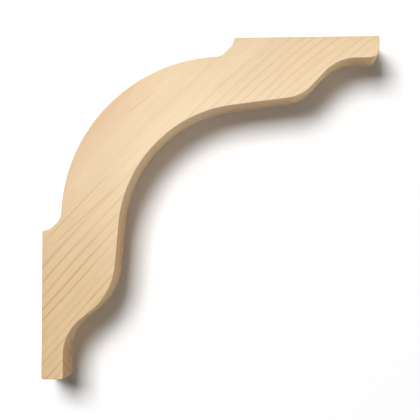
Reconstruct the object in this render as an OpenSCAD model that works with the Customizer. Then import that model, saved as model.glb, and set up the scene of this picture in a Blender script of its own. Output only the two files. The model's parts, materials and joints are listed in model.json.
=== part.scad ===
// Flat wooden corbel bracket, sawn in one piece from a board.
// It hangs on a wall by the face of its lower arm and carries a shelf on the face of its upper arm.
// Millimetres, +Z up. The wall face lies in the plane X = 0 and looks along -X, the shelf face looks
// along +Z, and the board's thickness runs along Y. The origin is the centre of the wall face.

/* [Overall] */
// Height of the bracket, from the shelf face down to the foot
wall_height = 254; // [210:1:320]
// Reach of the bracket, from the wall face out to the nose
shelf_reach = 251; // [208:1:320]
// Thickness of the board it is sawn from
board_thickness = 38; // [16:1:60]

/* [Bearing faces] */
// Length of the face that lies on the wall
wall_face_length = 110.5; // [85:0.5:125]
// Length of the face that carries the shelf
shelf_face_length = 107.5; // [85:0.5:125]

/* [Rounded back] */
// Radius of the rounded back in the corner
back_radius = 120.7; // [100:0.1:150]
// How far the rounded back keeps clear of the wall plane and of the shelf plane
back_relief = 14; // [8:0.5:22]

/* [Arch] */
// Radius of the arch between the two arms
arch_radius = 96.5; // [78:0.5:116]

/* [Wall arm] */
// Width of the foot, out from the wall
foot_width = 16; // [10:0.5:24]
// Length of the straight edge above the foot
foot_run = 18; // [8:0.5:24]
// Radius of the hollow above the foot
foot_hollow_radius = 34; // [26:0.5:41]
// Radius of the swell above that hollow
wall_swell_radius = 49.5; // [38:0.5:60]
// Width of the arm at the swell, out from the wall
wall_swell_width = 54.8; // [46:0.1:66]
// Length of the straight slope between that hollow and the swell
wall_slope_length = 8; // [4:0.5:20]
// How much wider the arm is at the arch than at the swell
wall_arm_gain = 2.2; // [0.5:0.1:8]

/* [Shelf arm] */
// Depth of the nose, down from the shelf
nose_depth = 16; // [10:0.5:24]
// Radius of the nose's lower corner
nose_round = 3.5; // [1:0.5:8]
// Length of the straight edge behind the nose
nose_run = 17; // [8:0.5:24]
// Radius of the hollow behind the nose
nose_hollow_radius = 32; // [26:0.5:39]
// Radius of the swell behind that hollow
shelf_swell_radius = 28.6; // [23:0.1:35]
// Depth of the arm at the swell, down from the shelf
shelf_swell_depth = 45.5; // [38:0.5:55]
// Length of the straight slope between that hollow and the swell
shelf_slope_length = 14.6; // [6:0.1:24]
// How much deeper the arm is at the arch than at the swell
shelf_arm_gain = 4; // [0.5:0.1:8]

/* [Hidden] */
$fn = 240;

// The outline is drawn in [x, depth]: x out from the wall plane, depth down from the shelf plane.
// Both arms are worked out alike in [along, out]: along the arm from the corner of the two planes,
// and out from the plane that the arm lies on. On the shelf arm that is [x, depth] as it stands, and
// on the wall arm the two change places.
WALL = "wall";
SHELF = "shelf";
function turned(side, p) = side == WALL ? [p.y, p.x] : p;

// A row of points that runs anticlockwise on the shelf arm, kept so on either arm
function placed(side, points) =
    [for (i = [0:len(points) - 1]) turned(side, points[side == SHELF ? i : len(points) - 1 - i])];

// A point at a distance and an angle from another, and the angle of the line from p to q
function polar(p, r, angle) = p + r * [cos(angle), sin(angle)];
function bearing(p, q) = atan2(q.y - p.y, q.x - p.x);

// The rounded back touches neither plane: its centre is one relief and one radius from each
back_centre = (back_relief + back_radius) * [1, 1];

// The notch that leads from a bearing face into the rounded back starts square to that face, at
// `start` along the arm. This is the one radius with which it also runs smoothly into the back.
function notch_radius(start) =
    (pow(back_centre.x, 2) + pow(back_centre.x - start, 2) - pow(back_radius, 2))
    / (2 * (back_radius - back_centre.x + start));
function notch_centre(start) = [start - notch_radius(start), 0];
function notch_end(start) =
    polar(notch_centre(start), notch_radius(start), bearing(notch_centre(start), back_centre));

wall_face_start = wall_height - wall_face_length;
shelf_face_start = shelf_reach - shelf_face_length;

// The arch touches the line to which each arm has widened where it springs
arch_centre = [wall_swell_width + wall_arm_gain + arch_radius,
               shelf_swell_depth + shelf_arm_gain + arch_radius];

// The straight slope leans so that hollow, slope and swell together deepen the arm by `gain`
function slope_lean(radii, straight, gain) =
    acos((radii - gain) / norm([radii, straight])) - atan(straight / radii);

// Centre of the hollow behind the straight edge that ends at `run_end`, and of the swell behind it
function hollow_centre(run_end, hollow_r) = run_end + [0, hollow_r];
function swell_centre(run_end, hollow_r, straight, swell_r, swell_out) =
    let (lean = slope_lean(hollow_r + swell_r, straight, swell_out - run_end.y))
    polar(polar(hollow_centre(run_end, hollow_r), hollow_r + swell_r, -90 - lean),
          straight, 180 - lean);

foot_run_end = [wall_height - foot_run, foot_width];
foot_hollow = hollow_centre(foot_run_end, foot_hollow_radius);
wall_swell = swell_centre(foot_run_end, foot_hollow_radius, wall_slope_length,
                          wall_swell_radius, wall_swell_width);
nose_run_end = [shelf_reach - nose_run, nose_depth];
nose_hollow = hollow_centre(nose_run_end, nose_hollow_radius);
shelf_swell = swell_centre(nose_run_end, nose_hollow_radius, shelf_slope_length,
                           shelf_swell_radius, shelf_swell_depth);

// The angle at which a straight edge leaves the swell for another curve that bends the other way,
// touching both: the slope on the tip's side, the flank on the arch's side
function edge_angle(swell, swell_r, other, other_r, sense) =
    bearing(swell, other) + sense * acos((swell_r + other_r) / norm(other - swell));

// Where the underside of an arm passes from one curve to the next, from the arch to the tip
function underside(run_end, hollow, hollow_r, swell, swell_r, arch) =
    let (slope = edge_angle(swell, swell_r, hollow, hollow_r, 1),
         flank = edge_angle(swell, swell_r, arch, arch_radius, -1))
    [polar(arch, -arch_radius, flank), polar(swell, swell_r, flank), polar(swell, swell_r, slope),
     polar(hollow, -hollow_r, slope), run_end];

wall_underside = underside(foot_run_end, foot_hollow, foot_hollow_radius,
                           wall_swell, wall_swell_radius, turned(WALL, arch_centre));
shelf_underside = underside(nose_run_end, nose_hollow, nose_hollow_radius,
                            shelf_swell, shelf_swell_radius, arch_centre);

// The nose's lower corner is rounded off
nose_corner = [shelf_reach, nose_depth] - nose_round * [1, 1];

// Well past the bracket on the open side
beyond = wall_height + shelf_reach;

// Every curve is drawn this hair full, so that a straight cut ends just inside the curve that it
// touches and no sliver of wood is left standing between them
tuck = 0.002;

module disc(side, centre, radius) {
    translate(turned(side, centre)) circle(radius + tuck);
}

// One arm before its underside is sawn: from its bearing face back to the centre of the back, with
// the notch between that face and the rounded back
module arm_blank(side, length, start) {
    difference() {
        polygon(placed(side, [[start, 0], [length, 0], [length, back_centre.y], back_centre,
                              notch_end(start)]));
        disc(side, notch_centre(start), notch_radius(start));
    }
}

module blank() {
    disc(SHELF, back_centre, back_radius);
    arm_blank(WALL, wall_height, wall_face_start);
    arm_blank(SHELF, shelf_reach, shelf_face_start);
}

// What is sawn away under the bracket, from the foot through the arch to the nose
module sawn_away() {
    difference() {
        union() {
            polygon(concat(
                placed(WALL, wall_underside),
                shelf_underside,
                [[nose_corner.x, nose_depth], [shelf_reach, nose_corner.y],
                 [beyond, nose_corner.y], [beyond, beyond], [foot_width, beyond]]));
            disc(SHELF, arch_centre, arch_radius);
            disc(WALL, foot_hollow, foot_hollow_radius);
            disc(SHELF, nose_hollow, nose_hollow_radius);
        }
        disc(WALL, wall_swell, wall_swell_radius);
        disc(SHELF, shelf_swell, shelf_swell_radius);
        disc(SHELF, nose_corner, nose_round);
    }
}

module bracket() {
    wall_face_middle = wall_height - wall_face_length / 2;
    color([0.93, 0.82, 0.66])
        translate([0, 0, wall_face_middle])
            rotate([-90, 0, 0])
                linear_extrude(board_thickness, center = true)
                    difference() {
                        blank();
                        sawn_away();
                    }
}

bracket();
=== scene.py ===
# %% [markdown]
# # A flat wooden corbel bracket
# One piece of pale softwood, sawn to shape from a board. It hangs on a wall by the face of its
# lower arm and carries a shelf on its upper arm, with a rounded back in the corner, an arch
# between the arms and a swell and a hollow under each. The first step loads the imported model. It
# is the frame that every size below is worked out from, so nothing has to be fitted later.

# %% Load the frame
import bpy
import json
import math
import numpy as np
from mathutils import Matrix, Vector


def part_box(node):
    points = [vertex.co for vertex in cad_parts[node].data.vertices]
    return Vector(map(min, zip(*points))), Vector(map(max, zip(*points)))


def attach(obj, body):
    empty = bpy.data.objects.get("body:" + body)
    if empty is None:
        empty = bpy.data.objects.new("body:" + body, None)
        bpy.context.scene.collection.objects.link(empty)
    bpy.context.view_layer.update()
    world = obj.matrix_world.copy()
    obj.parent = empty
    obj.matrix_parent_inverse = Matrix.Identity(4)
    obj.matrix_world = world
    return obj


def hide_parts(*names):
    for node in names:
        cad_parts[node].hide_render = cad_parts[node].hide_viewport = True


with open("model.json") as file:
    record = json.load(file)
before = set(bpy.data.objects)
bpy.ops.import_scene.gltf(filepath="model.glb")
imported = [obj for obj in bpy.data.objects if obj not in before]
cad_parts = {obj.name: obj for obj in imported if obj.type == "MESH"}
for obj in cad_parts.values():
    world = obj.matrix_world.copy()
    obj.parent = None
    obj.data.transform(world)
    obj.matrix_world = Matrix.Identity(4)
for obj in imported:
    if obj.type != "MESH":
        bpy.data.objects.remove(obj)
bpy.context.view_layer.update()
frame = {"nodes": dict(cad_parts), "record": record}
MM = 0.001
low, high = (np.array(corner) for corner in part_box("bracket"))
height, reach, thickness = high[2] - low[2], high[0], high[1] - low[1]
print("height, reach, thickness in mm:", np.round(np.array([height, reach, thickness]) / MM, 2))

# %% [markdown]
# ## Sizes of the outline
# The wall face starts at the foot and its middle is the origin, so its length is twice the
# foot's distance below the origin. The shelf face ends at the nose, and its middle is its mount.
# The sawn curves are arcs of a circle. Their radii are a carver's choice rather than something
# that follows from the box, so they are named here once, in metres. Gain is how much deeper an
# arm gets between its swell and the middle of the bracket.

# %% Name the sizes
mounts = {mount["name"]: mount for mount in frame["record"]["mounts"]}
top = high[2]
foot = low[2]
wall_face_top = -foot
shelf_face_start = 2 * mounts["shelf_face"]["pos_m"][0] - reach

back_radius, back_relief = 120.7 * MM, 14 * MM
arch_radius = 96.5 * MM
foot_width, foot_run, foot_hollow = 16 * MM, 18 * MM, 34 * MM
wall_swell, wall_swell_width, wall_slope, wall_gain = 49.5 * MM, 54.8 * MM, 8 * MM, 2.2 * MM
nose_depth, nose_round, nose_run, nose_hollow = 16 * MM, 3.5 * MM, 17 * MM, 32 * MM
shelf_swell, shelf_swell_depth, shelf_slope, shelf_gain = 28.6 * MM, 45.5 * MM, 14.6 * MM, 4 * MM
corner_round = 1.3 * MM
print("wall face %.1f mm" % (2 * wall_face_top / MM))
print("shelf face %.1f mm" % ((reach - shelf_face_start) / MM))

# %% [markdown]
# ## The outline as a belt over wheels
# Every curve of the outline is part of a circle, and each runs smoothly into the next, either
# straight away or along a short straight cut. That is how a belt lies over wheels: it passes
# outside the wheels that bulge out and inside those that hollow in. So the outline needs only a
# list of wheels, where a hollow has a negative radius. The belt works out all the tangent points.
# A spline through points would be quicker to type, but it would never be truly round.

# %% Place the wheels


def point(x, z):
    """A point of the outline, in metres: x out from the wall, z up."""
    return np.array([x, z])


def swapped(p):
    """The same place on the other arm: depth below the shelf becomes distance from the wall."""
    return point(top - p[1], top - p[0])


def notch_wheel(start):
    """The notch that starts square to the shelf face at x = start and runs smoothly into the back.

    Its centre lies on the face's line, one radius before start. The radius is the one for which
    the distance between both centres is the sum of both radii.
    """
    centre = back_relief + back_radius
    radius = (centre**2 + (centre - start)**2 - back_radius**2) / (2 * (back_radius - centre + start))
    return point(start - radius, top), radius


def notch_corner(notch, radius):
    """The wheel that eases the corner between the shelf face and the notch.

    It touches the face's line from below and the notch from outside, so by Pythagoras its centre
    is sqrt((notch + corner)^2 - corner^2) along the face from the notch's centre.
    """
    return notch + point(math.sqrt((radius + corner_round)**2 - corner_round**2), -corner_round)


def swell_wheel(hollow, hollow_radius, slope, radius, drop):
    """The swell behind a hollow on the shelf arm, where the arm gets deeper by drop.

    From the hollow's centre the way to the swell's centre is both radii along the slope's normal
    and the slope's length along it. The lean of the slope is the angle that gives this drop.
    """
    radii = hollow_radius + radius
    lean = math.acos((radii - drop) / math.hypot(radii, slope)) - math.atan(slope / radii)
    down = point(-math.sin(lean), math.cos(lean))
    along = point(-math.cos(lean), -math.sin(lean))
    return hollow + radii * down + slope * along


back = point(back_relief + back_radius, top - back_relief - back_radius)
shelf_notch, notch_radius = notch_wheel(shelf_face_start)
wall_notch, wall_notch_radius = notch_wheel(top - wall_face_top)
arch = point(wall_swell_width + wall_gain + arch_radius,
             top - shelf_swell_depth - shelf_gain - arch_radius)
print("notch radii in mm: %.2f and %.2f" % (notch_radius / MM, wall_notch_radius / MM))

# %% [markdown]
# The two arms are alike but not equal. Each is worked out as if it lay along the shelf, and the
# wall arm then changes places by a swap of depth and reach. The list below goes round the
# bracket as seen from the front, clockwise, starting at the foot's outer corner. The corner
# wheels are only a little over a millimetre: sandpaper has taken the corners off.

# %% List the wheels in order
foot_end = top - foot
nose_centre = point(reach - nose_run, top - nose_depth - nose_hollow)
foot_mirror = point(foot_end - foot_run, top - foot_width - foot_hollow)
wheels = [
    (point(corner_round, foot + corner_round), corner_round),
    (swapped(notch_corner(wall_notch, wall_notch_radius)), corner_round),
    (swapped(wall_notch), -wall_notch_radius),
    (back, back_radius),
    (shelf_notch, -notch_radius),
    (notch_corner(shelf_notch, notch_radius), corner_round),
    (point(reach - corner_round, top - corner_round), corner_round),
    (point(reach - nose_round, top - nose_depth + nose_round), nose_round),
    (nose_centre, -nose_hollow),
    (swell_wheel(nose_centre, nose_hollow, shelf_slope, shelf_swell, shelf_swell_depth - nose_depth),
     shelf_swell),
    (arch, -arch_radius),
    (swapped(swell_wheel(foot_mirror, foot_hollow, wall_slope, wall_swell,
                         wall_swell_width - foot_width)), wall_swell),
    (swapped(foot_mirror), -foot_hollow),
    (point(foot_width - corner_round, foot + corner_round), corner_round),
]
FOOT_OUTER, WALL_TOP, SHELF_START, NOSE_UPPER, NOSE_LOWER, ARCH, FOOT_INNER = 0, 1, 5, 6, 7, 10, 13
print(len(wheels), "wheels")

# %% [markdown]
# Now the belt goes on. Blender has no such tool, but the geometry is short: between two wheels it
# needs one angle, the direction that the straight cut faces. Each wheel then gets the same number
# of points, however short its arc is.

# %% Run the belt round the wheels


def belt(centres, radii, steps=240):
    """A closed belt over wheels, clockwise. Returns its points and the angles of its outward normals.

    Between two wheels the belt is straight. Its normal n makes both ends lie on one line:
    (c2 - c1) . n = r1 - r2, with hollows as negative radii. On a wheel the normal turns from one
    line's to the next, clockwise on a bulge and the other way in a hollow, and a point of the
    belt is its wheel's centre plus the radius times that normal.
    """
    way = np.roll(centres, -1, axis=0) - centres
    length = np.hypot(way[:, 0], way[:, 1])
    swing = np.arccos(np.clip((radii - np.roll(radii, -1)) / length, -1, 1))
    leaving = np.arctan2(way[:, 1], way[:, 0]) + swing
    arriving = np.roll(leaving, 1)
    turn = -np.sign(radii) * np.mod(np.sign(radii) * (arriving - leaving), 2 * np.pi)
    start = arriving[0] + np.concatenate(([0], np.cumsum(turn)[:-1]))
    angle = start[:, None] + turn[:, None] * np.linspace(0, 1, steps)
    normal = np.stack((np.cos(angle), np.sin(angle)), axis=-1)
    return centres[:, None] + radii[:, None, None] * normal, angle


belt_points, belt_angles = belt(np.array([w[0] for w in wheels]), np.array([w[1] for w in wheels]))
steps = belt_points.shape[1]
path = belt_points.reshape(-1, 2)
path_angle = belt_angles.reshape(-1)
run = np.concatenate(([0], np.cumsum(np.hypot(*np.diff(path, axis=0).T))))
closing = np.hypot(*(path[0] - path[-1]))
print("outline %.1f mm round, turned by %.2f of a full turn" % (
    (run[-1] + closing) / MM, (path_angle[-1] - path_angle[0]) / (2 * np.pi)))

# %% [markdown]
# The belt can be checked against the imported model: every vertex of the CAD mesh should lie on it,
# apart from the corners that are eased here. A distance of more than a millimetre or so would
# mean a wrong radius.

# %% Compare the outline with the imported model
cad_mesh = frame["nodes"]["bracket"].data
cad_points = np.empty(3 * len(cad_mesh.vertices))
cad_mesh.vertices.foreach_get("co", cad_points)
cad_points = np.unique(np.round(cad_points.reshape(-1, 3)[:, [0, 2]], 7), axis=0)
fine_run = np.linspace(0, run[-1], 20000)
fine = np.stack([np.interp(fine_run, run, path[:, axis]) for axis in (0, 1)], axis=-1)
gap = np.array([np.min(np.hypot(*(fine - p).T)) for p in cad_points])
print("the CAD mesh lies within %.3f mm of the outline, half of it within %.4f mm" % (
    gap.max() / MM, np.median(gap) / MM))

# %% [markdown]
# ## From a belt to a mesh
# The flat faces could each be one big polygon, but the shading and the finish come out better
# on even four-sided faces. So the outline is cut into eight stretches, four that face each other
# in pairs: wall face and foot hollow, rounded back and arch, shelf face and nose hollow, and the
# two ends. Facing stretches get the same number of points, crowded towards the corners, because
# that is where the surface turns fastest. The wall face's top corner is paired with a point a
# little below the arch, so that the lines across the wood slope down from it and never leave it.

# %% Spread points along the outline


def crowded(count, crowding=0.9):
    """count + 1 numbers from 0 to 1, closer together at both ends: t - crowding * sin(2 pi t) / 2 pi."""
    t = np.linspace(0, 1, count + 1)
    return t - crowding * np.sin(2 * np.pi * t) / (2 * np.pi)


def middle_of(wheel):
    """How far along the belt the middle of a wheel's arc is."""
    return run[wheel * steps + steps // 2]


WALL_COUNT, BACK_COUNT, SHELF_COUNT, END_COUNT = 170, 220, 170, 30
BELOW_ARCH = 8 * MM
whole = run[-1] + closing
arch_start, arch_end = run[ARCH * steps], run[(ARCH + 1) * steps - 1]
cuts = [middle_of(FOOT_OUTER), middle_of(WALL_TOP), middle_of(SHELF_START), middle_of(NOSE_UPPER),
        middle_of(NOSE_LOWER), arch_start, arch_end + BELOW_ARCH, middle_of(FOOT_INNER),
        middle_of(FOOT_OUTER) + whole]
counts = [WALL_COUNT, BACK_COUNT, SHELF_COUNT, END_COUNT,
          SHELF_COUNT, BACK_COUNT, WALL_COUNT, END_COUNT]
places = np.concatenate([start + (end - start) * crowded(count)[:-1]
                         for start, end, count in zip(cuts, cuts[1:], counts)])

two_rounds = np.concatenate((run, run + whole))
two_paths = np.concatenate((path, path))
two_angles = np.concatenate((path_angle, path_angle - 2 * np.pi))
loop = np.stack([np.interp(places, two_rounds, two_paths[:, axis]) for axis in (0, 1)], axis=-1)
loop_angle = np.interp(places, two_rounds, two_angles)
outward = np.stack((np.cos(loop_angle), np.sin(loop_angle)), axis=-1)
loop_count = len(loop)
print(loop_count, "points round the outline")

# %% [markdown]
# The saw doesn't follow the drawing to the hair. It left both notches a little too full, the one
# beside the shelf face more than the other, and the nose's lower corner is knocked off rather
# than rounded. The arch is a hair lower than a true circle. A bell curve along the outline adds
# or takes away that little bit, so smoothly that it needs no edge of its own. The moved outline
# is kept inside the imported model's box, and its outward directions are worked out again.

# %% Add what the saw left and took
MARK_LENGTH = 5 * MM
SHELF_NOTCH, WALL_NOTCH = SHELF_START - 1, WALL_TOP + 1
SHELF_NOTCH_LEFT, WALL_NOTCH_LEFT = 1.3 * MM, 0.7 * MM
NOSE_TAKEN, NOSE_MARK_LENGTH = 0.9 * MM, 4.5 * MM
ARCH_LEFT, ARCH_MARK_LENGTH = 0.3 * MM, 70 * MM


def bell(wheel, amount, length=MARK_LENGTH):
    """Moves the outline outwards round the middle of a wheel: amount * exp(-(distance / length)^2)."""
    return amount * np.exp(-((places - middle_of(wheel)) / length)**2)


saw_marks = (bell(SHELF_NOTCH, SHELF_NOTCH_LEFT) + bell(WALL_NOTCH, WALL_NOTCH_LEFT)
             + bell(NOSE_LOWER, -NOSE_TAKEN, NOSE_MARK_LENGTH) + bell(ARCH, ARCH_LEFT, ARCH_MARK_LENGTH))
loop += outward * saw_marks[:, None]
loop = np.clip(loop, (low[0], low[2]), (high[0], high[2]))
ahead = np.roll(loop, -1, axis=0) - np.roll(loop, 1, axis=0)
outward = np.stack((-ahead[:, 1], ahead[:, 0]), axis=-1) / np.linalg.norm(ahead, axis=1)[:, None]
print("the outline is moved by up to %.1f mm" % (abs(saw_marks).max() / MM))

# %% [markdown]
# ## Eased edges
# Sawn edges are never left razor sharp: a few strokes of sandpaper take them off, a little more
# here and a little less there. In Blender a Bevel modifier would do it evenly. Here each edge is
# a quarter circle whose radius changes along the outline, which catches the light as hand work
# does. The inner front edge, under the arch, got the fewest strokes and is the crispest. So each
# point of the outline first gets a number for how much it belongs to the inner side.

# %% Mark the inner side
STEP_WIDTH = 3 * MM


def step_at(wheel):
    """0 before the middle of a wheel and 1 after it: 1 / (1 + exp(-distance / STEP_WIDTH))."""
    return 1 / (1 + np.exp(-(places - middle_of(wheel)) / STEP_WIDTH))


inner_side = step_at(NOSE_LOWER) * (1 - step_at(FOOT_INNER))
print("%.0f of %d points lie on the inner side" % (inner_side.sum(), loop_count))

# %% [markdown]
# The radius wanders slowly. That is a handful of slow waves with fixed phases, so every run is
# the same. It stays below the radius of the small corner wheels, because an edge that is eased
# by more than its corner's radius would fold over itself.

# %% Work out the easing
dice = np.random.default_rng(7)
EASING, EASING_SWING, CRISPNESS = 0.75 * MM, 0.28 * MM, 0.45
FRONT_WAVES, BACK_WAVES = [2, 5, 9, 17, 26], [3, 4, 11, 19, 23]
SHARE_OF_CORNER = 0.65


def slow_waves(turns):
    """A smooth closed wander between about -1 and 1.

    A sum of sines of the way round, one for each number of turns, each with its own phase.
    """
    phases = dice.uniform(0, 2 * np.pi, len(turns))
    way_round = 2 * np.pi * places / whole
    waves = np.sin(np.array(turns)[:, None] * way_round + phases[:, None])
    return waves.sum(axis=0) / math.sqrt(len(turns))


front_easing = EASING + EASING_SWING * np.clip(slow_waves(FRONT_WAVES), -1, 1)
front_easing = front_easing * (1 - CRISPNESS * inner_side)
back_easing = EASING + EASING_SWING * np.clip(slow_waves(BACK_WAVES), -1, 1)
widest = SHARE_OF_CORNER * corner_round
front_easing, back_easing = np.minimum(front_easing, widest), np.minimum(back_easing, widest)
print("edges eased by %.2f to %.2f mm" % (front_easing.min() / MM, front_easing.max() / MM))

# %% [markdown]
# The sides are rings, one behind the other: six round each eased edge and the rest straight
# across the thickness between them. Copies of one ring pushed back by an Extrude would do for the
# straight part, but the eased edges need a ring of their own size at each step.

# %% Build the rings round the edge
EASING_STEPS, SIDE_STEPS = 5, 22


def edge_rings(easing, face, inwards):
    """The rings over an eased edge: a quarter circle from the flat face round to the sawn side.

    At angle a the ring lies easing * (1 - sin a) inside the outline and easing * (1 - cos a)
    behind the face, so the first ring bounds the flat face and the last lies on the side.
    """
    a = np.linspace(0, np.pi / 2, EASING_STEPS + 1)[:, None]
    inside = easing * (1 - np.sin(a))
    behind = face + inwards * easing * (1 - np.cos(a))
    plan = loop - inside[..., None] * outward
    return np.stack((plan[..., 0], behind, plan[..., 1]), axis=-1)


front_rings = edge_rings(front_easing, low[1], 1)
back_rings = edge_rings(back_easing, high[1], -1)[::-1]
blend = crowded(SIDE_STEPS)[1:-1, None, None]
side_rings = front_rings[-1] * (1 - blend) + back_rings[0] * blend
rings = np.concatenate((front_rings, side_rings, back_rings))
print(rings.shape[0], "rings of", rings.shape[1], "points")

# %% [markdown]
# ## The flat faces
# Each face fills one closed ring. Its four sides are the outer edge, the inner edge and the two
# ends, and a Coons patch fills them: it slides straight lines across from one long side to the
# other, and corrects them so that the ends fit too. Each point then has a place in a grid, which
# is all that whole-array code needs.

# %% Fill a ring with a grid
LENGTH_COUNT = WALL_COUNT + BACK_COUNT + SHELF_COUNT


def ring_sides(values):
    """Cuts a ring's values into the four sides of its grid: outer, inner, foot end, nose end."""
    outer = values[:LENGTH_COUNT + 1]
    nose = values[LENGTH_COUNT:LENGTH_COUNT + END_COUNT + 1]
    inner = values[LENGTH_COUNT + END_COUNT:2 * LENGTH_COUNT + END_COUNT + 1][::-1]
    foot_side = np.concatenate((values[2 * LENGTH_COUNT + END_COUNT:], values[:1]))[::-1]
    return outer, inner, foot_side, nose


def coons_patch(ring):
    """A grid of points inside a ring.

    Straight across between the long sides, plus straight along between the short ones, less
    what both count twice: the plain blend of the four corners.
    """
    outer, inner, foot_side, nose = ring_sides(ring)
    u = np.linspace(0, 1, LENGTH_COUNT + 1)[:, None, None]
    v = crowded(END_COUNT)[None, :, None]
    across = (1 - v) * outer[:, None] + v * inner[:, None]
    along = (1 - u) * foot_side[None] + u * nose[None]
    corners = ((1 - u) * ((1 - v) * outer[0] + v * inner[0])
               + u * ((1 - v) * outer[-1] + v * inner[-1]))
    return across + along - corners


front_grid = coons_patch(rings[0])
back_grid = coons_patch(rings[-1])
print("each flat face has", front_grid.shape[0] * front_grid.shape[1], "points")

# %% [markdown]
# A patch can fold over itself at a corner, where its lines come together at a sharp angle. So the
# cells that lie the wrong way round are counted. The one on each face is far too small to see.

# %% Look for folds


def folded(grid):
    """How many cells of a flat grid lie the wrong way round: their diagonals' cross product tells."""
    plan = grid[..., [0, 2]]
    one, other = plan[1:, 1:] - plan[:-1, :-1], plan[:-1, 1:] - plan[1:, :-1]
    turn = one[..., 0] * other[..., 1] - one[..., 1] * other[..., 0]
    return min((turn > 0).sum(), (turn < 0).sum())


print("folded cells:", folded(front_grid), "in front,", folded(back_grid), "behind")

# %% [markdown]
# A mesh is a list of points and a list of faces that name their corners by number. The outermost
# points of each grid are the first and the last ring, so they are numbered only once and nothing
# has to be merged afterwards. The corners of each face go round it in the order that makes it
# look outwards.

# %% Number the points and the faces
grid_shape = front_grid.shape[:2]
front_numbers = np.arange(grid_shape[0] * grid_shape[1]).reshape(grid_shape)
back_numbers = front_numbers + front_numbers.size
middle_rings = rings[1:-1]
middle_numbers = 2 * front_numbers.size + np.arange(middle_rings.shape[0] * loop_count)
middle_numbers = middle_numbers.reshape(-1, loop_count)


def ring_of(numbers):
    """The numbers of a grid's outer points, in the order of the ring that bounds it."""
    return np.concatenate((numbers[:-1, 0], numbers[-1, :-1], numbers[:0:-1, -1], numbers[0, :0:-1]))


def quads(a, b, c, d):
    """Four-sided faces from four arrays of corner numbers."""
    return np.stack((a, b, c, d), axis=-1).reshape(-1, 4)


def grid_faces(numbers):
    """Faces between each point of a grid and its three neighbours ahead."""
    return quads(numbers[:-1, :-1], numbers[:-1, 1:], numbers[1:, 1:], numbers[1:, :-1])


rows = np.concatenate((ring_of(front_numbers)[None], middle_numbers, ring_of(back_numbers)[None]))
following = np.roll(rows, -1, axis=1)
side_faces = quads(rows[:-1], following[:-1], following[1:], rows[1:])
points = np.concatenate([block.reshape(-1, 3) for block in (front_grid, back_grid, middle_rings)])
faces = np.concatenate((grid_faces(front_numbers), grid_faces(back_numbers)[:, ::-1], side_faces))
print(len(points), "points,", len(faces), "faces")

# %% [markdown]
# Is it closed, and does it look outwards? One number answers both: the enclosed volume comes out
# right only if no face is missing and none is inside out.

# %% Measure the closed surface


def enclosed_volume(points, faces):
    """The volume inside closed quads: each makes two tetrahedra with the origin, and they add up.

    It comes out negative if the faces look inwards, so it also checks the order of the corners.
    """
    a, b, c, d = (points[faces[:, corner]] for corner in range(4))
    return (np.cross(a, b) * c + np.cross(a, c) * d).sum() / 6


print("enclosed volume %.0f cubic mm" % (enclosed_volume(points, faces) / MM**3))

# %% [markdown]
# ## The piece itself
# The arrays go into a mesh in one call. The piece rides on the imported model's only body and
# takes the place of its node, which is hidden. It gets the wood material further down.

# %% Make the bracket


def make_piece(name, points, faces):
    """A new object at the origin whose mesh holds these points and four-sided faces, shaded smooth."""
    mesh = bpy.data.meshes.new(name)
    mesh.from_pydata(points, [], faces)
    mesh.polygons.foreach_set("use_smooth", np.ones(len(faces), bool))
    mesh.update()
    piece = bpy.data.objects.new(name, mesh)
    bpy.context.collection.objects.link(piece)
    return piece


bracket = make_piece("corbel_bracket", points, faces)
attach(bracket, "root")
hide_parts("bracket")
print("triangles:", 2 * len(faces))

# %% [markdown]
# Numbers stored on the points tell the finish where it is: on the inner front edge, which gets a
# painted highlight (painted_highlight), the outer front edge (handled) or an edge at the back,
# which gets a painted shade (painted_shade), and how far across the face (across), from the back
# to the arch. Painting these by hand would also work, but here the rings already know which
# points lie on an edge.

# %% Store numbers on its points
RINGS_ON_EDGE = EASING_STEPS + 1
SIDE_VALUE = 0.4


def store(name, values):
    """One number for each point, kept in the mesh under a name that a material can read."""
    attribute = bracket.data.attributes.new(name, "FLOAT", "POINT")
    attribute.data.foreach_set("value", values.astype(np.float32))


def on_edge(edge, amount):
    """Amount on the points of an eased edge and 0 on all others."""
    values = np.zeros(len(points))
    values[edge] = amount
    return values


front_edge, back_edge = rows[:RINGS_ON_EDGE], rows[-RINGS_ON_EDGE:]
# The inner front edge gets a painted highlight, the outer front edge its brown from hands, and the back
# edges a painted shade.
store("painted_highlight", on_edge(front_edge, inner_side))
store("handled", on_edge(front_edge, 1 - inner_side))
store("painted_shade", on_edge(back_edge, 1.0))
way_across = np.broadcast_to(crowded(END_COUNT), grid_shape).ravel()
store("across", np.concatenate((way_across, way_across, np.full(middle_numbers.size, SIDE_VALUE))))
print("stored on the points:", [a.name for a in bracket.data.attributes if a.data_type == "FLOAT"])

# %% [markdown]
# ## The wood
# A board is a slice of a trunk. The trunk's year rings are long cylinders, and where the saw cut
# through them they show as lines on the face, curves on the ends and long flames where the cut
# nearly followed a ring. A picture of wood can't do that on every side, but rings that fill the
# space can: each point asks how far it is from the heart of the tree. The grain of this bracket
# runs from the foot to the nose, so that neither arm breaks off across short grain.

# %% Helpers for a node tree


def new_material(name):
    """An empty node material and its tree."""
    material = bpy.data.materials.new(name)
    material.use_nodes = True
    material.node_tree.nodes.clear()
    return material, material.node_tree


def add(tree, kind, inputs=(), **settings):
    """A new node with its settings, and its inputs either linked to a socket or set to a value."""
    node = tree.nodes.new(kind)
    for name, value in settings.items():
        setattr(node, name, value)
    for name, value in dict(inputs).items():
        if isinstance(value, bpy.types.NodeSocket):
            tree.links.new(value, node.inputs[name])
        else:
            node.inputs[name].default_value = value
    return node


def maths(tree, operation, a, b=0.0, clamp=False):
    """One sum on two numbers, and its result."""
    return add(tree, "ShaderNodeMath", {0: a, 1: b}, operation=operation, use_clamp=clamp).outputs[0]


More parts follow.
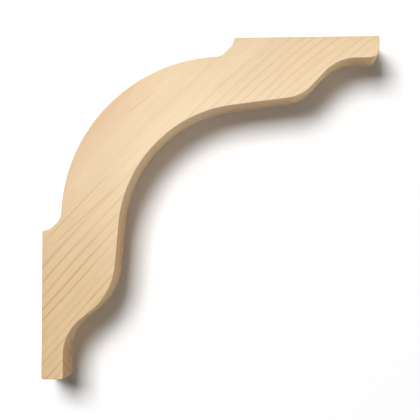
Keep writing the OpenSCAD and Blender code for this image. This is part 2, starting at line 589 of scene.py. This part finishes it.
def ramp(tree, value, *stops):
    """A soft step through grey levels, given as (position, level) pairs."""
    node = add(tree, "ShaderNodeValToRGB", {"Fac": value})
    node.color_ramp.interpolation = "EASE"
    while len(node.color_ramp.elements) < len(stops):
        node.color_ramp.elements.new(0.5)
    for element, (position, level) in zip(node.color_ramp.elements, stops):
        element.position = position
        element.color = (level, level, level, 1)
    return node.outputs["Color"]


def linear(red, green, blue):
    """A colour as on a paint card, from 0 to 255 in steps for the eye, turned into amounts of light."""
    share = np.array([red, green, blue]) / 255
    light = np.where(share <= 0.04045, share / 12.92, ((share + 0.055) / 1.055)**2.4)
    return (*light.tolist(), 1.0)


def mixed(tree, amount, first, second, blend_type="MIX"):
    """Two colours mixed by an amount, each a socket or a colour."""
    node = add(tree, "ShaderNodeMix", {0: amount, 6: first, 7: second},
               data_type="RGBA", blend_type=blend_type)
    return node.outputs[2]


print("helpers for node trees are ready")

# %% [markdown]
# The board was cut just in front of the heart of the tree, which runs along the grain behind the
# rounded back. A Mapping node of the kind "texture" turns the object's own coordinates into the
# board's: X along the grain, from the foot towards the nose, and Z across it, from the arch
# towards the back. The pattern stays put on the object, because Object coordinates move with it.

# %% Lay the board in the tree
wood, tree = new_material("wood")
place = add(tree, "ShaderNodeTexCoord")
PITH_OUT, PITH_BEHIND, GRAIN_ANGLE = 57 * MM, 45 * MM, math.radians(45)
corner = np.array([0, low[1] + PITH_BEHIND, top])
towards_arch = np.array([1, 0, -1]) / math.sqrt(2)
pith = corner + PITH_OUT * math.sqrt(2) * towards_arch
board = add(tree, "ShaderNodeMapping", {
    "Vector": place.outputs["Object"], "Location": pith.tolist(),
    "Rotation": (0, -GRAIN_ANGLE, 0)}, vector_type="TEXTURE").outputs[0]
print("heart of the tree passes", np.round(pith / MM, 1), "mm")

# %% [markdown]
# No trunk is quite straight, so the place in the board is moved a little before any ring is
# drawn. A soft noise makes it wander. It also bows with the square of the way along it, a little
# more in the shelf arm, so the rings there run a little shallower across the face.

# %% Bend the trunk
BOW, LEAN_START, LEAN = 0.18, 55 * MM, 0.3
WANDER, WANDER_PER_METRE = 9 * MM, (5, 16, 16)


def noise(vector, per_metre, detail, output="Fac"):
    """Soft noise with this many specks to the metre each way: unequal numbers stretch the specks."""
    scaled = add(tree, "ShaderNodeMapping", {"Vector": vector, "Scale": per_metre}).outputs[0]
    texture = add(tree, "ShaderNodeTexNoise", {"Vector": scaled, "Scale": 1, "Detail": detail})
    return texture.outputs[output]


def vector_maths(operation, a, inputs=(), output=0):
    """One sum on vectors, and its result."""
    return add(tree, "ShaderNodeVectorMath", {0: a, **dict(inputs)}, operation=operation).outputs[output]


along = add(tree, "ShaderNodeSeparateXYZ", {"Vector": board}).outputs
bowed = maths(tree, "MULTIPLY", maths(tree, "POWER", along["X"], 2.0), BOW)
beyond = maths(tree, "MAXIMUM", maths(tree, "SUBTRACT", along["X"], LEAN_START), 0.0)
leaning = maths(tree, "MULTIPLY", maths(tree, "POWER", beyond, 2.0), LEAN)
bowed = maths(tree, "ADD", bowed, leaning)
bow = add(tree, "ShaderNodeCombineXYZ", {"X": 0.0, "Y": 0.0, "Z": bowed}).outputs[0]
wander = noise(board, WANDER_PER_METRE, 2, "Color")
wander = vector_maths("SUBTRACT", wander, {1: (0.5, 0.5, 0.5)})
wander = vector_maths("SCALE", wander, {"Scale": WANDER})
trunk = vector_maths("ADD", board, {1: vector_maths("ADD", wander, {1: bow})})
print("the trunk wanders by up to %.1f mm either way" % (WANDER / 2 / MM))

# %% [markdown]
# A year ring is pale where the tree grew fast in spring and dark where it grew slowly in late
# summer. The dark part is thin and ends sharply on its outer side, where the next spring begins.
# The distance from the heart is counted in years, and what is left after the whole years is the
# season, from 0 to 1. Only the last part of it is dark.

# %% Count the years
YEAR = 4.6 * MM
across = vector_maths("MULTIPLY", trunk, {1: (0, 1, 1)})
years = maths(tree, "DIVIDE", vector_maths("LENGTH", across, output="Value"), YEAR)
season = maths(tree, "FRACT", years)
late_wood = ramp(tree, season, (0.0, 0.25), (0.06, 0.0), (0.62, 0.04), (0.91, 1.0), (1.0, 0.4))
print("one year is %.1f mm" % (YEAR / MM))

# %% [markdown]
# No two years are alike. A noise that is stretched along the grain and looked up by year makes
# some rings strong and others faint. Towards the rounded back the cut nearly follows the rings,
# so they are far apart and faint there, and in the arms they stand steeper and closer. Low on
# the wall arm the late wood is darkest.

# %% Make each year different
YEAR_STRETCH, YEAR_CHANGE = 6, 0.83


def rising(value, start, end, least=0.0, most=1.0):
    """A smooth rise from least, where value is start, to most, where it is end."""
    return add(tree, "ShaderNodeMapRange", {
        "Value": value, "From Min": start, "From Max": end, "To Min": least, "To Max": most},
        interpolation_type="SMOOTHSTEP").outputs["Result"]


whole_year = maths(tree, "FLOOR", years)
year_place = add(tree, "ShaderNodeCombineXYZ", {
    "X": maths(tree, "MULTIPLY", along["X"], YEAR_STRETCH), "Y": whole_year, "Z": 0.5}).outputs[0]
year_noise = add(tree, "ShaderNodeTexNoise", {"Vector": year_place, "Scale": YEAR_CHANGE, "Detail": 1})
year_strength = ramp(tree, year_noise.outputs["Fac"], (0.32, 0.3), (0.66, 1.0))
steepness = rising(along["Z"], -28 * MM, -52 * MM, 0.4, 1.0)
wall_arm_strength = rising(along["X"], -60 * MM, -112 * MM, 0.68, 1.45)
late_wood = maths(tree, "MULTIPLY", late_wood, year_strength)
late_wood = maths(tree, "MULTIPLY", late_wood, maths(tree, "MULTIPLY", steepness, wall_arm_strength))
print("rings keep 0.4 of their strength at the back, and get up to 1.45 on the wall arm")

# %% [markdown]
# Softwood is a bundle of fibres. Close up, the face shows fine pale and dark threads, all along
# the grain, and short darker ticks where a resin duct was cut open. Both are noise that is
# stretched twenty to thirty times longer along the grain than across it. Wider bands follow the
# trunk too, while patches and small rosy blushes lie in the board anyhow.

# %% Add fibres, resin ticks and patches
FIBRES, TICKS, BANDS = (28, 850, 850), (70, 1500, 1500), (5, 95, 95)
PATCHES, BLUSHES = (6, 20, 20), (40, 70, 70)
fibres = noise(trunk, FIBRES, 3)
ticks = ramp(tree, noise(trunk, TICKS, 0), (0.76, 0.0), (0.86, 1.0))
bands = noise(trunk, BANDS, 2)
patches = noise(board, PATCHES, 3)
blushes = ramp(tree, noise(board, BLUSHES, 1), (0.5, 0.0), (0.75, 0.25))
print("a fibre is about %.1f mm wide, a tick %.1f mm" % (1000 / FIBRES[1], 1000 / TICKS[1]))

# %% [markdown]
# Three marks are this board's own: a fine dark one, where the saw opened a pocket of resin near
# the middle of the face, and two redder rings low on the wall arm. Each is a thin line in the
# board's own directions, along and across the grain. It is 1 on the line, fades to its sides and
# at its ends, and the resin pocket goes only a few millimetres deep.

# %% Draw the board's own marks


def streak(start, end, width):
    """How much of a thin line is here: 1 on the line from start to end, 0 beyond width beside it.

    Start and end are (along, across) in metres, and both ends fade over a fifth of the length.
    """
    (x0, z0), (x1, z1) = start, end
    fade = (x1 - x0) / 5
    line = rising(along["X"], x0, x1, z0, z1)
    beside = maths(tree, "ABSOLUTE", maths(tree, "SUBTRACT", along["Z"], line))
    ends = maths(tree, "MULTIPLY", rising(along["X"], x0, x0 + fade), rising(along["X"], x1, x1 - fade))
    return maths(tree, "MULTIPLY", rising(beside, width, 0.0), ends)


RESIN_TOP, RESIN_BOTTOM = low[1] + 1 * MM, low[1] + 5 * MM
here = add(tree, "ShaderNodeSeparateXYZ", {"Vector": place.outputs["Object"]}).outputs
resin = streak((4 * MM, -4.2 * MM), (36 * MM, -7.7 * MM), 0.4 * MM)
resin = maths(tree, "MULTIPLY", resin, rising(here["Y"], RESIN_BOTTOM, RESIN_TOP))
red_rings = maths(tree, "MAXIMUM",
                  streak((-112 * MM, -27.8 * MM), (-34 * MM, -26.4 * MM), 1.1 * MM),
                  streak((-108 * MM, -34.4 * MM), (-34 * MM, -37.0 * MM), 1.0 * MM))
print("the resin pocket goes %.0f mm deep" % ((RESIN_BOTTOM - low[1]) / MM))

# %% [markdown]
# ## Colour
# Fresh pine is close to cream. It turns a little rosy round the heart of the tree and a little
# yellower down the wall arm and out along the shelf arm, so the base colour is mixed by place and
# by patches first. Across the face, light and shade are painted in: a painted light makes it a
# shade paler beside the arch, and a painted shade makes it a shade browner beside the back. All
# colours are named as they look in plain light, and the lamps are set so that they come out that way.

# %% Mix the wood's own colour
cream, rosy, honey = linear(244, 218, 179), linear(234, 197, 157), linear(221, 189, 143)
blush = linear(240, 203, 168)
# The two tints that follow are a painted light beside the arch and a painted shade beside the back, not
# the wood's own colour.
arch_painted_light, back_painted_shade = (1.04, 1.05, 1.07, 1), (0.97, 0.955, 0.94, 1)

yellowed = maths(tree, "ADD", rising(here["Z"], 150 * MM, -10 * MM, 0.0, 0.9),
                 rising(here["X"], 110 * MM, 210 * MM, 0.0, 0.3))
rosy_amount = maths(tree, "MULTIPLY", rising(along["Z"], -18 * MM, 4 * MM, 0.0, 0.9),
                    rising(along["X"], 60 * MM, -20 * MM))
rosy_amount = maths(tree, "MULTIPLY", rosy_amount, ramp(tree, patches, (0.35, 0.6), (0.65, 1.0)))
colour = mixed(tree, rosy_amount, cream, rosy)
colour = mixed(tree, blushes, colour, blush)
colour = mixed(tree, yellowed, colour, honey)
across_face = add(tree, "ShaderNodeAttribute", attribute_name="across").outputs["Fac"]
# Painted light: a shade paler beside the arch. Painted shade: a shade browner beside the back.
colour = mixed(tree, rising(across_face, 0.5, 1.0), colour, arch_painted_light, "MULTIPLY")
colour = mixed(tree, rising(across_face, 0.35, 0.0), colour, back_painted_shade, "MULTIPLY")
print("the plain wood goes from cream to honey, with rosy patches")

# %% [markdown]
# Everything darker is laid over the plain wood by multiplying, as a stain darkens: first the
# patches, bands and fibres as greys, then the years, the ticks and the board's own marks, each in
# its brown. Multiplying by an amount leaves the colour alone where the amount is 0.

# %% Lay the grain over it
year_brown, tick_brown = linear(189, 165, 128), linear(170, 105, 65)
ring_red, resin_brown = linear(214, 160, 118), linear(150, 118, 92)


def stained(colour, stain, where, strength=1.0):
    """A colour multiplied by a stain, by an amount that is where * strength."""
    amount = where if strength == 1.0 else maths(tree, "MULTIPLY", where, strength)
    return mixed(tree, amount, colour, stain, "MULTIPLY")


for pattern, stops in ((patches, ((0.3, 0.94), (0.7, 1.0))), (bands, ((0.35, 0.97), (0.65, 1.0))),
                       (fibres, ((0.25, 0.95), (0.6, 1.0)))):
    colour = stained(colour, ramp(tree, pattern, *stops), 1.0)
for where, strength, stain in ((late_wood, 0.32, year_brown), (ticks, 0.2, tick_brown),
                               (red_rings, 0.3, ring_red), (resin, 0.3, resin_brown)):
    colour = stained(colour, stain, where, strength)
print("three shades and four stains laid over it")

# %% [markdown]
# Where the saw cut straight across the fibres they stand open like a bundle of straws. End grain
# drinks more finish and looks darker and browner. How far a surface is turned across the grain is
# the dot product of its normal with the grain's direction.

# %% Darken the end grain
end_brown = linear(222, 190, 158)
normal = place.outputs["Normal"]
grain = (1 / math.sqrt(2), 0, 1 / math.sqrt(2))
end_grain = maths(tree, "ABSOLUTE", vector_maths("DOT_PRODUCT", normal, {1: grain}, "Value"))
end_grain = ramp(tree, end_grain, (0.35, 0.0), (1.0, 1.0))
colour = stained(colour, end_brown, end_grain, 0.5)
print("the grain points up and out:", np.round(grain, 3))

# %% [markdown]
# ## Edges
# An edge shows how a piece has been treated. The inner front edge is mixed towards a pale colour:
# a painted highlight where the eased edge catches the light. The outer front edge is a little
# browner from hands, and the edges at the back are darkened: a painted shade where the bracket
# meets the wall. The numbers stored on the points say where each edge is.
# The sawn side is a shade duller than the planed faces, and its normal tells it from them.

# %% Colour the edges and the sawn side
# The pale colour is a painted highlight and the grey is a painted shade. The brown from hands and the
# dull sawn tint are the wood's own.
pale_highlight_paint, hand_brown = linear(252, 234, 205), linear(235, 205, 172)
shade_paint_grey, sawn_dull = linear(185, 165, 151), linear(252, 244, 235)


def stored(name):
    """The numbers that are stored on the points under this name."""
    return add(tree, "ShaderNodeAttribute", attribute_name=name).outputs["Fac"]


# Painted highlight on the inner front edge.
colour = mixed(tree, maths(tree, "MULTIPLY", stored("painted_highlight"), 0.4), colour, pale_highlight_paint)
colour = stained(colour, hand_brown, stored("handled"), 0.35)
# Painted shade on the edges at the back, where the bracket meets the wall.
colour = stained(colour, shade_paint_grey, stored("painted_shade"))
facing = add(tree, "ShaderNodeSeparateXYZ", {"Vector": normal}).outputs["Y"]
sawn = maths(tree, "SUBTRACT", 1.0, maths(tree, "ABSOLUTE", facing), clamp=True)
colour = stained(colour, sawn_dull, sawn)
print("edges rubbed, handled and dusty")

# %% [markdown]
# ## Surface
# The planed face has a soft sheen. The sawn curves are duller and keep the blade's fine ripples
# across the thickness. The fibres and the hard late wood stand up a little, and the ticks are
# tiny dents. All these bumps are hundredths of a millimetre: enough for the light to find, too
# small to model. How rough it is follows the patches, and the sawn side is rougher.

# %% Raise the grain and set the sheen
RIPPLES, BUMP_HEIGHT = (420, 60, 420), 0.12 * MM
ripples = maths(tree, "MULTIPLY", noise(place.outputs["Object"], RIPPLES, 2), sawn)
fibre_relief = maths(tree, "MULTIPLY", fibres, 0.6)
relief = maths(tree, "ADD", fibre_relief, maths(tree, "MULTIPLY", late_wood, 0.35))
relief = maths(tree, "ADD", relief, maths(tree, "MULTIPLY", ripples, 1.6))
relief = maths(tree, "SUBTRACT", relief, maths(tree, "MULTIPLY", ticks, 0.5))
bump = add(tree, "ShaderNodeBump", {
    "Height": relief, "Distance": BUMP_HEIGHT, "Strength": 0.7}).outputs[0]
roughness = add(tree, "ShaderNodeMapRange", {
    "Value": maths(tree, "ADD", maths(tree, "MULTIPLY", sawn, 0.5), patches),
    "From Min": 0.3, "From Max": 1.1, "To Min": 0.46, "To Max": 0.72}).outputs["Result"]
surface = add(tree, "ShaderNodeBsdfPrincipled", {
    "Base Color": colour, "Roughness": roughness, "Normal": bump, "Specular IOR Level": 0.3})
add(tree, "ShaderNodeOutputMaterial", {"Surface": surface.outputs["BSDF"]})
bracket.data.materials.append(wood)
print("the wood has", len(tree.nodes), "nodes")

# %% [markdown]
# ## The room
# The bracket is shown on a pale wall, with a pale floor further down. Both are stage, not object:
# each is one big four-sided panel. A world colour alone would be quicker, but then the bracket
# would cast no shadow and seem to float.

# %% Helpers for the room
WALL_REACH, WALL_GAP, FLOOR_REACH, FLOOR_DROP = 0.6, 0.5 * MM, 3.0, 90 * MM
wall_y, floor_z = high[1] + WALL_GAP, foot - FLOOR_DROP


def grey(level):
    """A grey that sends back this share of the light."""
    return (level, level, level, 1)


def flat_panel(name, corners, material):
    """A stage panel with four corners."""
    mesh = bpy.data.meshes.new(name)
    mesh.from_pydata(corners, [], [(0, 1, 2, 3)])
    mesh.materials.append(material)
    panel = bpy.data.objects.new(name, mesh)
    bpy.context.collection.objects.link(panel)
    return panel


def looked_at(tree):
    """1 for a ray from the camera or from a shiny surface, and 0 for all other rays."""
    rays = add(tree, "ShaderNodeLightPath").outputs
    return maths(tree, "ADD", rays["Is Camera Ray"], rays["Is Glossy Ray"], clamp=True)


print("wall %.1f mm behind the bracket" % (WALL_GAP / MM))

# %% [markdown]
# For the camera the wall is painted a little brighter than any real paint, so that it comes out
# white while the bracket's shadow stays on it. For the light that it sends on to the bracket it
# stays plain paint. It is see-through from behind, so that the bracket's own back can be looked
# at, and for rays that start within a few millimetres, so that it doesn't darken that back. It
# also lets the light of the lamp behind it through.

# %% Put up the wall
PAINT, PAINT_SEEN, NEAR = grey(0.8), grey(1.045), 6 * MM
paint, paint_tree = new_material("wall_paint")
paint_colour = mixed(paint_tree, looked_at(paint_tree), PAINT, PAINT_SEEN)
painted = add(paint_tree, "ShaderNodeBsdfDiffuse", {"Color": paint_colour}).outputs[0]
see_through = add(paint_tree, "ShaderNodeBsdfTransparent").outputs[0]
behind = add(paint_tree, "ShaderNodeNewGeometry").outputs["Backfacing"]
ray_length = add(paint_tree, "ShaderNodeLightPath").outputs["Ray Length"]
opened = maths(paint_tree, "MAXIMUM", behind, maths(paint_tree, "LESS_THAN", ray_length, NEAR))
paint_surface = add(paint_tree, "ShaderNodeMixShader", {0: opened, 1: painted, 2: see_through})
add(paint_tree, "ShaderNodeOutputMaterial", {"Surface": paint_surface.outputs[0]})
wall = flat_panel("wall", [(-WALL_REACH, wall_y, floor_z), (WALL_REACH, wall_y, floor_z),
                           (WALL_REACH, wall_y, WALL_REACH), (-WALL_REACH, wall_y, WALL_REACH)], paint)
wall.visible_shadow = False
print("wall %.1f m wide" % (2 * WALL_REACH))

# %% [markdown]
# The floor is only there to be looked at. It glows a little for the camera, so it looks pale in
# the weak light down there. It throws no light up at the bracket and stops none.

# %% Lay the floor
FLOOR_GREY, FLOOR_GLOW = grey(0.4), 0.62
floor_paint, floor_tree = new_material("floor_paint")
floor_front = add(floor_tree, "ShaderNodeBsdfDiffuse", {"Color": FLOOR_GREY}).outputs[0]
floor_glow = add(floor_tree, "ShaderNodeEmission", {
    "Strength": maths(floor_tree, "MULTIPLY", looked_at(floor_tree), FLOOR_GLOW)}).outputs[0]
floor_surface = add(floor_tree, "ShaderNodeAddShader", {0: floor_front, 1: floor_glow}).outputs[0]
add(floor_tree, "ShaderNodeOutputMaterial", {"Surface": floor_surface})
floor = flat_panel("floor", [(-FLOOR_REACH, -FLOOR_REACH, floor_z), (FLOOR_REACH, -FLOOR_REACH, floor_z),
                             (FLOOR_REACH, FLOOR_REACH, floor_z), (-FLOOR_REACH, FLOOR_REACH, floor_z)],
                   floor_paint)
floor.visible_diffuse = False
floor.visible_shadow = False
print("floor %.0f mm below the foot" % (FLOOR_DROP / MM))

# %% [markdown]
# ## Light
# The main lamp is far away, high on the left, so its light comes from nearly one direction and
# throws the shadow down to the right. It is broad, so the shadow's edge is soft. A lamp behind
# the wall lights the bracket's back, for whoever looks from there. A weak fill lamp from the
# lower right lifts the shaded sides. It is linked to the bracket alone, so it leaves the shadow
# on the wall as it is.

# %% Set the lamps
scene = bpy.context.scene
scene.view_settings.view_transform = "Standard"
middle = (low + high) / 2


def lamp(name, towards, distance, size, strength):
    """A square lamp in that direction from the bracket's middle, turned to face it.

    Strength is the brightness that it would give a white surface square to it: an area lamp of
    power P at distance d gives P / (pi d^2) in watts per square metre, and white shows 1/pi of it.
    """
    towards = Vector(towards).normalized()
    data = bpy.data.lights.new(name, "AREA")
    data.size = size
    data.energy = strength * math.pi**2 * distance**2
    light = bpy.data.objects.new(name, data)
    light.location = Vector(middle) + distance * towards
    light.rotation_euler = towards.to_track_quat("Z", "Y").to_euler()
    bpy.context.collection.objects.link(light)
    return light


lamp("main_lamp", towards=(-0.328, -1, 0.452), distance=8.0, size=3.6, strength=1.04)
lamp("back_lamp", towards=(-0.6, 1, 0.45), distance=1.8, size=0.9, strength=0.8)
fill = lamp("fill_lamp", towards=(1, -0.2, -0.5), distance=2.0, size=1.6, strength=0.24)
only_bracket = bpy.data.collections.new("only_bracket")
only_bracket.objects.link(bracket)
fill.light_linking.receiver_collection = only_bracket

# %% [markdown]
# The rest is the plain light of a pale room, the same from everywhere. It is weak, but to the
# camera and to shiny surfaces the room looks white.

# %% Fill the room with light
ROOM_LIGHT, ROOM_SEEN = 0.125, 1.0
world = bpy.data.worlds.new("room")
scene.world = world
world.use_nodes = True
world.node_tree.nodes.clear()
strength = add(world.node_tree, "ShaderNodeMapRange", {
    "Value": looked_at(world.node_tree), "To Min": ROOM_LIGHT, "To Max": ROOM_SEEN})
sky = add(world.node_tree, "ShaderNodeBackground", {
    "Strength": strength.outputs["Result"], "Color": grey(1)})
add(world.node_tree, "ShaderNodeOutputWorld", {"Surface": sky.outputs[0]})
print("the room's own light is %.3f of white" % ROOM_LIGHT)

# %% [markdown]
# ## Camera
# The camera stands a little more than three widths away, slightly below the middle and to the
# right of it, and looks in almost square. From there only the inner sides of the arms show. A
# long lens keeps the outline nearly true.

# %% Set the camera
SENSOR_WIDTH, LENS = 36, 94.29
eye = Vector((0.1772, -0.8312, 0.0347))
target = Vector((0.1256, -0.019, 0.0703))
camera_data = bpy.data.cameras.new("camera")
camera_data.sensor_width = SENSOR_WIDTH
camera_data.lens = LENS
camera = bpy.data.objects.new("camera", camera_data)
camera.location = eye
camera.rotation_euler = (target - eye).to_track_quat("-Z", "Y").to_euler()
bpy.context.collection.objects.link(camera)
scene.camera = camera
print("camera %.2f m from the bracket" % (target - eye).length)
